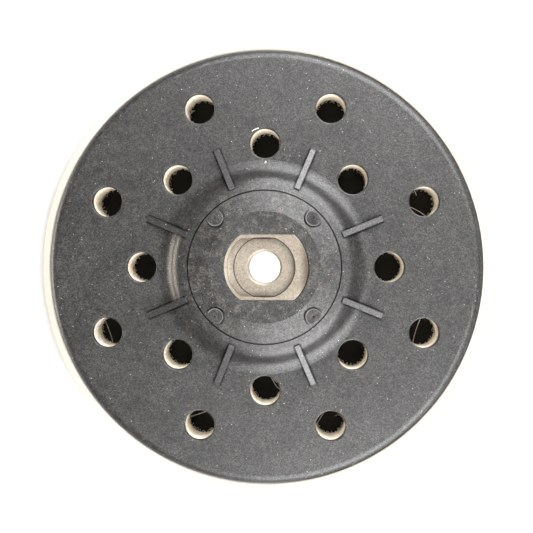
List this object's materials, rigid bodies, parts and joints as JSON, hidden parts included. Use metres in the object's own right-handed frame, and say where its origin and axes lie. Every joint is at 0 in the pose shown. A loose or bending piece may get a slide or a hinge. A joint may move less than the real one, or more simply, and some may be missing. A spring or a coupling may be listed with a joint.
{
  "type": "orbital sander backing pad",
  "caption": "Round hook-and-loop backing pad for a random orbital sander: ribbed plastic plate, metal drive insert, foam body, dust holes and a hook face.",
  "frame": {"origin": "centre of the pad on the plane of the hook tips, which is where the pad rests and where the abrasive disc goes", "axes": "+Z along the screw axis from the hook face to the machine side; +X along the flats of the drive socket"},
  "size_m": [0.122, 0.122, 0.0212],
  "materials": {
    "plate_nylon": "satin",
    "sintered_metal": "satin",
    "cream_foam": "matte",
    "adhesive": "satin",
    "hook_cloth": "matte",
    "hook_pile": "satin"
  },
  "bodies": {
    "root": {"backing_plate": "plate_nylon", "hub_insert": "sintered_metal", "foam_pad": "cream_foam", "adhesive_film": "adhesive", "hook_cloth": "hook_cloth", "hook_pile": "hook_pile"}
  },
  "joints": []
}
